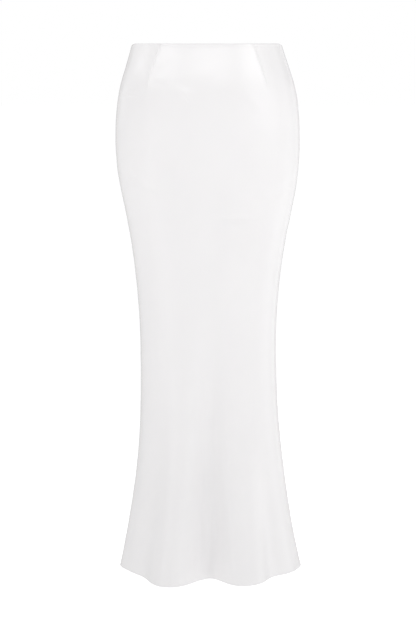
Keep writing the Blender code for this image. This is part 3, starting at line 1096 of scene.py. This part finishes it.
@dataclass
class Zip:
    """The concealed zip: a woven tape with a nylon coil behind the centre back seam."""

    form: SkirtForm
    half_width: float = 0.012
    start: float = 0.0075
    end: float = 0.190
    depth: float = 0.00215
    thickness: float = 0.0005
    slot_end: float = 0.0285
    slot_half_width: float = 0.0013
    coil_start: float = 0.030
    coil_end: float = 0.183
    coil_pitch: float = 0.0014
    coil_wire: float = 0.00032
    coil_half_width: float = 0.0021
    coil_rise: float = 0.0011
    coil_sides: int = 5
    tape_rows: int = 74
    tape_columns: int = 7

    def strip_point(self, across: float, row: float, depth: float) -> Vector:
        """A point behind the centre back seam.

        Args:
            across: Distance from the seam, towards the wearer's right above zero.
            row: Distance below the waist edge.
            depth: Distance in from the outer face.

        Returns:
            The point.
        """
        back, down = np.array([CENTRE_BACK]), np.array([row])
        azimuth = back + np.degrees(across / self.form.reach(back, down))
        drop = down + self.form.dip(back, down)
        facing = self.form.outward(azimuth, drop)
        return Vector((self.form.points(azimuth, drop) - facing * depth)[0])

    def tape(self) -> Thing:
        """Weaves the tape: a thin strip, parted at the top for the slider.

        Returns:
            The tape, in place of its solid.
        """
        rows = np.linspace(self.start, self.end, self.tape_rows)
        half = np.linspace(self.slot_half_width, self.half_width, self.tape_columns)
        columns = np.concatenate([-half[::-1], half])
        points = [self.strip_point(c, r, self.depth) for r in rows for c in columns]
        slot = len(half) - 1
        cells = []
        for number, face in enumerate(grid_faces(len(rows), len(columns))):
            row, column = divmod(number, len(columns) - 1)
            if column != slot or rows[row] > self.slot_end:
                cells.append(face)
        tape = mesh_object("zip_tape_weave", np.array(points), cells)
        tape.data.materials.append(Finish.TAPE.made)
        thicken(tape, self.thickness)
        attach(tape, "skirt")
        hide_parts("zip_tape")
        return tape

    def coil(self) -> Thing:
        """Winds the coil's two meshed sides as one row of bent teeth.

        Returns:
            The coil.
        """
        count = int((self.coil_end - self.coil_start) / self.coil_pitch)
        teeth = []
        low = self.depth + self.thickness + self.coil_wire
        for number in range(count):
            row = self.coil_start + number * self.coil_pitch
            side = 1.0 if number % 2 else -1.0
            half = side * self.coil_half_width
            bends = [(half * across, low + self.coil_rise * rise) for across, rise in COIL_TOOTH]
            teeth.append(self.wire([self.strip_point(across, row, depth) for across, depth in bends]))
        coil = joined("zip_coil", teeth)
        coil.data.materials.append(Finish.THREAD.made)
        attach(coil, "skirt")
        return coil

    def wire(self, line: list[Vector]) -> Mesh:
        """Bends a closed wire along a line.

        Args:
            line: The wire's middle.

        Returns:
            Its points and faces.
        """
        sides = self.coil_sides
        up = Vector((0.0, 0.0, 1.0))
        points = []
        for index, middle in enumerate(line):
            run = (line[min(index + 1, len(line) - 1)] - line[max(index - 1, 0)]).normalized()
            x = up.cross(run).normalized()
            y = run.cross(x)
            for side in range(sides):
                turn = 2.0 * math.pi * side / sides
                points.append(middle + (x * math.cos(turn) + y * math.sin(turn)) * self.coil_wire)
        faces: Faces = []
        last = len(points) - sides
        for ring in range(0, last, sides):
            for side in range(sides):
                a = ring + side
                b = ring + (side + 1) % sides
                faces.append((a, b, b + sides, a + sides))
        faces += [tuple(reversed(range(sides))), tuple(range(last, last + sides))]
        return np.array(points), faces


# Studio


@dataclass
class Studio:
    """A pale floor, soft lights, and the camera level with the waist and tilted down to the hem."""

    floor_height: float = -1.30
    floor_size: float = 60.0
    floor_paint: Colour = (0.9, 0.9, 0.9)
    floor_roughness: float = 0.9
    camera_distance: float = 3.45
    camera_height: float = 0.02
    lens: float = 106.0
    sensor: float = 36.0
    sight: float = 200.0
    pitch: float = 8.6525
    backdrop: float = 1.0
    fill: float = 0.552
    floor_glow: float = 0.53
    soft_boxes: tuple[SoftBox, ...] = (
        SoftBox("belly_softbox_centre", 2.0, 2.0, 0.66, -0.02, 1.3, 0.4, 2.15),
        SoftBox("belly_softbox_left", -40.0, 2.0, 0.68, -0.02, 1.3, 0.42, 2.55),
        SoftBox("belly_softbox_right", 44.0, 2.0, 0.7, -0.02, 1.3, 0.46, 1.8),
        SoftBox("right_strip", 54.0, 2.2, 0.3, -0.1, 1.6, 1.4, 0.8),
        SoftBox("right_fill", 98.0, 2.2, -0.2, -0.5, 1.2, 2.6, 0.42),
        SoftBox("left_flank", -88.0, 2.2, 0.9, -0.05, 1.2, 0.6, 2.1),
        SoftBox("left_hem", -50.0, 2.4, -0.8, -0.9, 1.2, 0.7, 0.34),
        SoftBox("right_rim", 136.0, 2.4, -0.5, -0.5, 1.0, 1.6, 0.42),
        SoftBox("left_rim", -118.0, 2.3, 0.5, -0.1, 1.2, 1.2, 0.45),
        SoftBox("back_softbox", 160.0, 2.3, 0.9, -0.3, 1.8, 1.4, 0.6),
    )

    def floor(self) -> None:
        """Lays the floor, which the satin doesn't mirror."""
        bpy.ops.object.select_all(action="DESELECT")
        bpy.ops.mesh.primitive_plane_add(size=self.floor_size, location=(0.0, 0.0, self.floor_height))
        floor = bpy.context.active_object
        floor.name = "studio_floor"
        tree = ShaderTree("studio_floor_paint")
        paint = {
            "Base Color": (*self.floor_paint, 1.0),
            "Roughness": self.floor_roughness,
            "Emission Color": WHITE,
            "Emission Strength": self.floor_glow,
        }
        tree.feed(tree.shader, paint)
        floor.data.materials.append(tree.material)
        floor.visible_glossy = False

    def camera(self) -> None:
        """Places the camera."""
        data = bpy.data.cameras.new("photo_camera")
        data.lens = self.lens
        data.sensor_width = self.sensor
        data.clip_end = self.sight
        camera = bpy.data.objects.new("photo_camera", data)
        camera.location = (0.0, -self.camera_distance, self.camera_height)
        camera.rotation_euler = Euler((math.radians(90.0 - self.pitch), 0.0, 0.0))
        bpy.context.scene.collection.objects.link(camera)
        bpy.context.scene.camera = camera

    def light(self, box: SoftBox) -> None:
        """Hangs one soft box, out of the camera's sight.

        Args:
            box: Its place, size and glow.
        """
        data = bpy.data.lights.new(box.name, "AREA")
        data.shape = "RECTANGLE"
        data.size, data.size_y = box.width, box.tall
        data.energy = box.glow * math.pi * box.width * box.tall
        light = bpy.data.objects.new(box.name, data)
        turn = math.radians(box.azimuth)
        light.location = (box.distance * math.sin(turn), -box.distance * math.cos(turn), box.height)
        facing = Vector((0.0, 0.0, box.aim)) - light.location
        light.rotation_euler = facing.to_track_quat("-Z", "Y").to_euler()
        light.visible_camera = False
        bpy.context.scene.collection.objects.link(light)

    def world(self) -> None:
        """Fills the studio with even light, behind a backdrop that the camera sees as white."""
        world = bpy.data.worlds.new("studio_white")
        world.use_nodes = True
        nodes = world.node_tree.nodes
        links = world.node_tree.links
        mix = nodes.new("ShaderNodeMixShader")
        for number, strength in enumerate((self.fill, self.backdrop), start=1):
            backdrop = nodes.new("ShaderNodeBackground")
            backdrop.inputs["Color"].default_value = WHITE
            backdrop.inputs["Strength"].default_value = strength
            links.new(backdrop.outputs["Background"], mix.inputs[number])
        path = nodes.new("ShaderNodeLightPath")
        links.new(path.outputs["Is Camera Ray"], mix.inputs["Fac"])
        links.new(mix.outputs["Shader"], nodes["World Output"].inputs["Surface"])
        bpy.context.scene.world = world

    def build(self) -> None:
        """Sets the studio up."""
        self.camera()
        self.floor()
        self.world()
        for box in self.soft_boxes:
            self.light(box)
        bpy.context.scene.view_settings.view_transform = "Standard"


def main() -> None:
    """Builds the skirt's cloth, sewing and zip, and the studio round them."""
    logging.basicConfig(level=logging.INFO, format="%(name)s: %(message)s")
    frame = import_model()
    form = SkirtForm()
    studio = Studio()
    studio.build()
    panels = (
        ClothPanel("front_panel", -90.0, 90.0, form, FRONT_DARTS, FRONT_CREASES),
        ClothPanel("back_left_panel", 90.0, CENTRE_BACK, form, BACK_LEFT_DARTS, BACK_LEFT_CREASES),
        ClothPanel("back_right_panel", -CENTRE_BACK, -90.0, form, BACK_RIGHT_DARTS, BACK_RIGHT_CREASES),
    )
    pieces = [panel.build() for panel in panels]
    closure = Zip(form)
    pieces += [closure.tape(), closure.coil()]
    pieces.append(StitchRow("waist_stitches", WAIST_STITCHING).sew(panels))
    pieces.append(StitchRow("hem_stitches", LENGTH - HEM_STITCHING).sew(panels))
    for piece in pieces:
        log.info("%s: %d faces", piece.name, len(piece.data.polygons))
    for node in ("zip_slider", "zip_pull"):
        frame["nodes"][node].data.materials.clear()
        frame["nodes"][node].data.materials.append(Finish.LACQUER.made)
        log.info("%s keeps its solid, lacquered", node)


if __name__ == "__main__":
    main()
